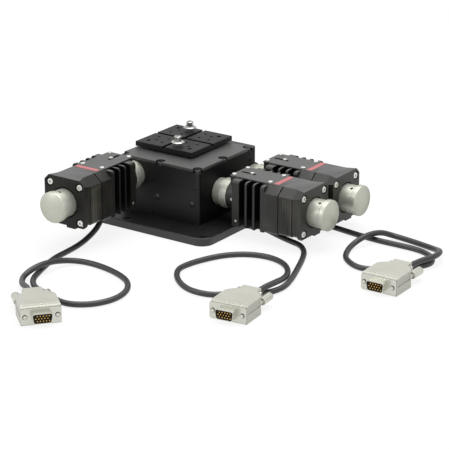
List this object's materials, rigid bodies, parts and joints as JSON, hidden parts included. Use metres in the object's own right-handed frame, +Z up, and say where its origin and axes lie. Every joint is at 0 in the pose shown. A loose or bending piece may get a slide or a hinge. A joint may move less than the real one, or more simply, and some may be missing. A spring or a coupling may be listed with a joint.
{
  "type": "three-axis nanopositioning stage",
  "caption": "Compact positioning stage: grooved platform on a black box body and base plate, stepper drives with hand knobs on its sides, each on a cable with a D-shaped plug.",
  "frame": {"origin": "on the platform's vertical axis, at the base plate's underside", "axes": "+Z up; +X towards the pair of drives; -Y towards the single drive"},
  "size_m": [0.3216, 0.3537, 0.0713],
  "materials": {
    "black_anodised": "black anodised, satin",
    "inner_steel": "ground steel",
    "zinc_steel": "bright zinc plated",
    "clear_anodised": "clear anodised, satin",
    "bearing_steel": "polished",
    "black_plastic": "matt",
    "laminated_steel": "ground lamination edges",
    "ground_steel": "ground",
    "grey_sheath": "smooth sheath",
    "tinned_steel": "tinned",
    "nickel_hood": "satin nickel on die casting",
    "gold_contact": "gold plated"
  },
  "bodies": {
    "stage": {"base_plate": "black_anodised", "stage_body": "black_anodised", "top_cover": "black_anodised", "access_panel": "black_anodised", "x_rails": "inner_steel", "crank_pin": "zinc_steel", "stage_screws": "zinc_steel", "access_panel_screws": "zinc_steel", "drive_screws": "zinc_steel", "hood_clamp_screws": "zinc_steel", "lock_rings": "clear_anodised", "front_bearings": "bearing_steel", "rear_bearings": "bearing_steel", "cable_glands": "black_plastic", "x_drive_front_housing": "black_anodised", "x_drive_top_plate": "black_anodised", "x_drive_rear_cap": "black_anodised", "x_drive_motor_stack": "laminated_steel", "x_drive_cable": "grey_sheath", "y_drive_front_housing": "black_anodised", "y_drive_top_plate": "black_anodised", "y_drive_rear_cap": "black_anodised", "y_drive_motor_stack": "laminated_steel", "y_drive_cable": "grey_sheath", "z_drive_front_housing": "black_anodised", "z_drive_top_plate": "black_anodised", "z_drive_rear_cap": "black_anodised", "z_drive_motor_stack": "laminated_steel", "z_drive_cable": "grey_sheath", "connector_shells": "tinned_steel", "connector_inserts": "black_plastic", "connector_hoods": "nickel_hood", "contact_pins": "gold_contact"},
    "x_screw": {"x_drive_knob": "clear_anodised", "x_drive_rotor_screw": "ground_steel"},
    "y_screw": {"y_drive_knob": "clear_anodised", "y_drive_rotor_screw": "ground_steel"},
    "z_screw": {"z_drive_knob": "clear_anodised", "z_drive_rotor_screw": "ground_steel"},
    "x_pusher": {"x_drive_spindle": "ground_steel", "x_drive_guide_pin": "ground_steel"},
    "y_pusher": {"y_drive_spindle": "ground_steel", "y_drive_guide_pin": "ground_steel"},
    "z_pusher": {"z_drive_spindle": "ground_steel", "z_drive_guide_pin": "ground_steel"},
    "x_slider": {"x_carriage": "inner_steel", "y_rails": "inner_steel"},
    "y_slider": {"y_carriage": "inner_steel"},
    "platform": {"moving_platform": "black_anodised", "platform_post": "inner_steel", "clamp_bolts": "zinc_steel", "clamp_washers": "zinc_steel"},
    "lever": {"bell_crank": "inner_steel"},
    "x_drive_thumb_left": {"x_drive_thumbscrew_left": "zinc_steel"},
    "x_drive_thumb_right": {"x_drive_thumbscrew_right": "zinc_steel"},
    "y_drive_thumb_left": {"y_drive_thumbscrew_left": "zinc_steel"},
    "y_drive_thumb_right": {"y_drive_thumbscrew_right": "zinc_steel"},
    "z_drive_thumb_left": {"z_drive_thumbscrew_left": "zinc_steel"},
    "z_drive_thumb_right": {"z_drive_thumbscrew_right": "zinc_steel"}
  },
  "joints": [
    {"name": "x_knob_turn", "type": "hinge", "parent": "stage", "child": "x_screw", "pos_m": [0.0517, -0.0199, 0.0301], "axis": [1, 0, 0], "range_deg": [-720, 720]},
    {"name": "y_knob_turn", "type": "hinge", "parent": "stage", "child": "y_screw", "pos_m": [-0.016, -0.0506, 0.0414], "axis": [0, -1, 0], "range_deg": [-720, 720]},
    {"name": "z_knob_turn", "type": "hinge", "parent": "stage", "child": "z_screw", "pos_m": [0.0517, 0.03, 0.0289], "axis": [1, 0, 0], "range_deg": [-1440, 0]},
    {"name": "x_spindle_slide", "type": "slide", "parent": "stage", "child": "x_pusher", "axis": [1, 0, 0], "range_m": [-0.002, 0.002]},
    {"name": "y_spindle_slide", "type": "slide", "parent": "stage", "child": "y_pusher", "axis": [0, -1, 0], "range_m": [-0.002, 0.002]},
    {"name": "z_spindle_slide", "type": "slide", "parent": "stage", "child": "z_pusher", "axis": [1, 0, 0], "range_m": [-0.004, 0]},
    {"name": "x_travel", "type": "slide", "parent": "stage", "child": "x_slider", "axis": [1, 0, 0], "range_m": [-0.002, 0.002]},
    {"name": "y_travel", "type": "slide", "parent": "x_slider", "child": "y_slider", "axis": [0, 1, 0], "range_m": [-0.002, 0.002]},
    {"name": "z_travel", "type": "slide", "parent": "y_slider", "child": "platform", "axis": [0, 0, 1], "range_m": [0, 0.004]},
    {"name": "lever_tilt", "type": "hinge", "parent": "stage", "child": "lever", "pos_m": [0.022, 0, 0.0439], "axis": [0, 1, 0], "range_deg": [0, 16.1]},
    {"name": "x_drive_thumbscrew_left_turn", "type": "hinge", "parent": "stage", "child": "x_drive_thumb_left", "pos_m": [0.16869, -0.19518, 0.00725], "axis": [0.1187, -0.9929, 0], "continuous": true},
    {"name": "x_drive_thumbscrew_right_turn", "type": "hinge", "parent": "stage", "child": "x_drive_thumb_right", "pos_m": [0.19351, -0.19222, 0.00725], "axis": [0.1187, -0.9929, 0], "continuous": true},
    {"name": "y_drive_thumbscrew_left_turn", "type": "hinge", "parent": "stage", "child": "y_drive_thumb_left", "pos_m": [0.06228, -0.28779, 0.00725], "axis": [0.7669, -0.6418, 0], "continuous": true},
    {"name": "y_drive_thumbscrew_right_turn", "type": "hinge", "parent": "stage", "child": "y_drive_thumb_right", "pos_m": [0.07832, -0.26861, 0.00725], "axis": [0.7669, -0.6418, 0], "continuous": true},
    {"name": "z_drive_thumbscrew_left_turn", "type": "hinge", "parent": "stage", "child": "z_drive_thumb_left", "pos_m": [0.232, -0.07969, 0.00725], "axis": [0.023, -0.9997, 0], "continuous": true},
    {"name": "z_drive_thumbscrew_right_turn", "type": "hinge", "parent": "stage", "child": "z_drive_thumb_right", "pos_m": [0.257, -0.07911, 0.00725], "axis": [0.023, -0.9997, 0], "continuous": true}
  ],
  "couplings": [
    {"joint": "x_spindle_slide", "follows": "x_travel", "ratio": 1},
    {"joint": "x_knob_turn", "follows": "x_travel", "rad_per_m": 6283.2},
    {"joint": "y_spindle_slide", "follows": "y_travel", "ratio": -1},
    {"joint": "y_knob_turn", "follows": "y_travel", "rad_per_m": -6283.2},
    {"joint": "z_spindle_slide", "follows": "z_travel", "ratio": -1},
    {"joint": "z_knob_turn", "follows": "z_travel", "rad_per_m": -6283.2},
    {"joint": "lever_tilt", "follows": "z_travel", "rad_per_m": 70}
  ]
}
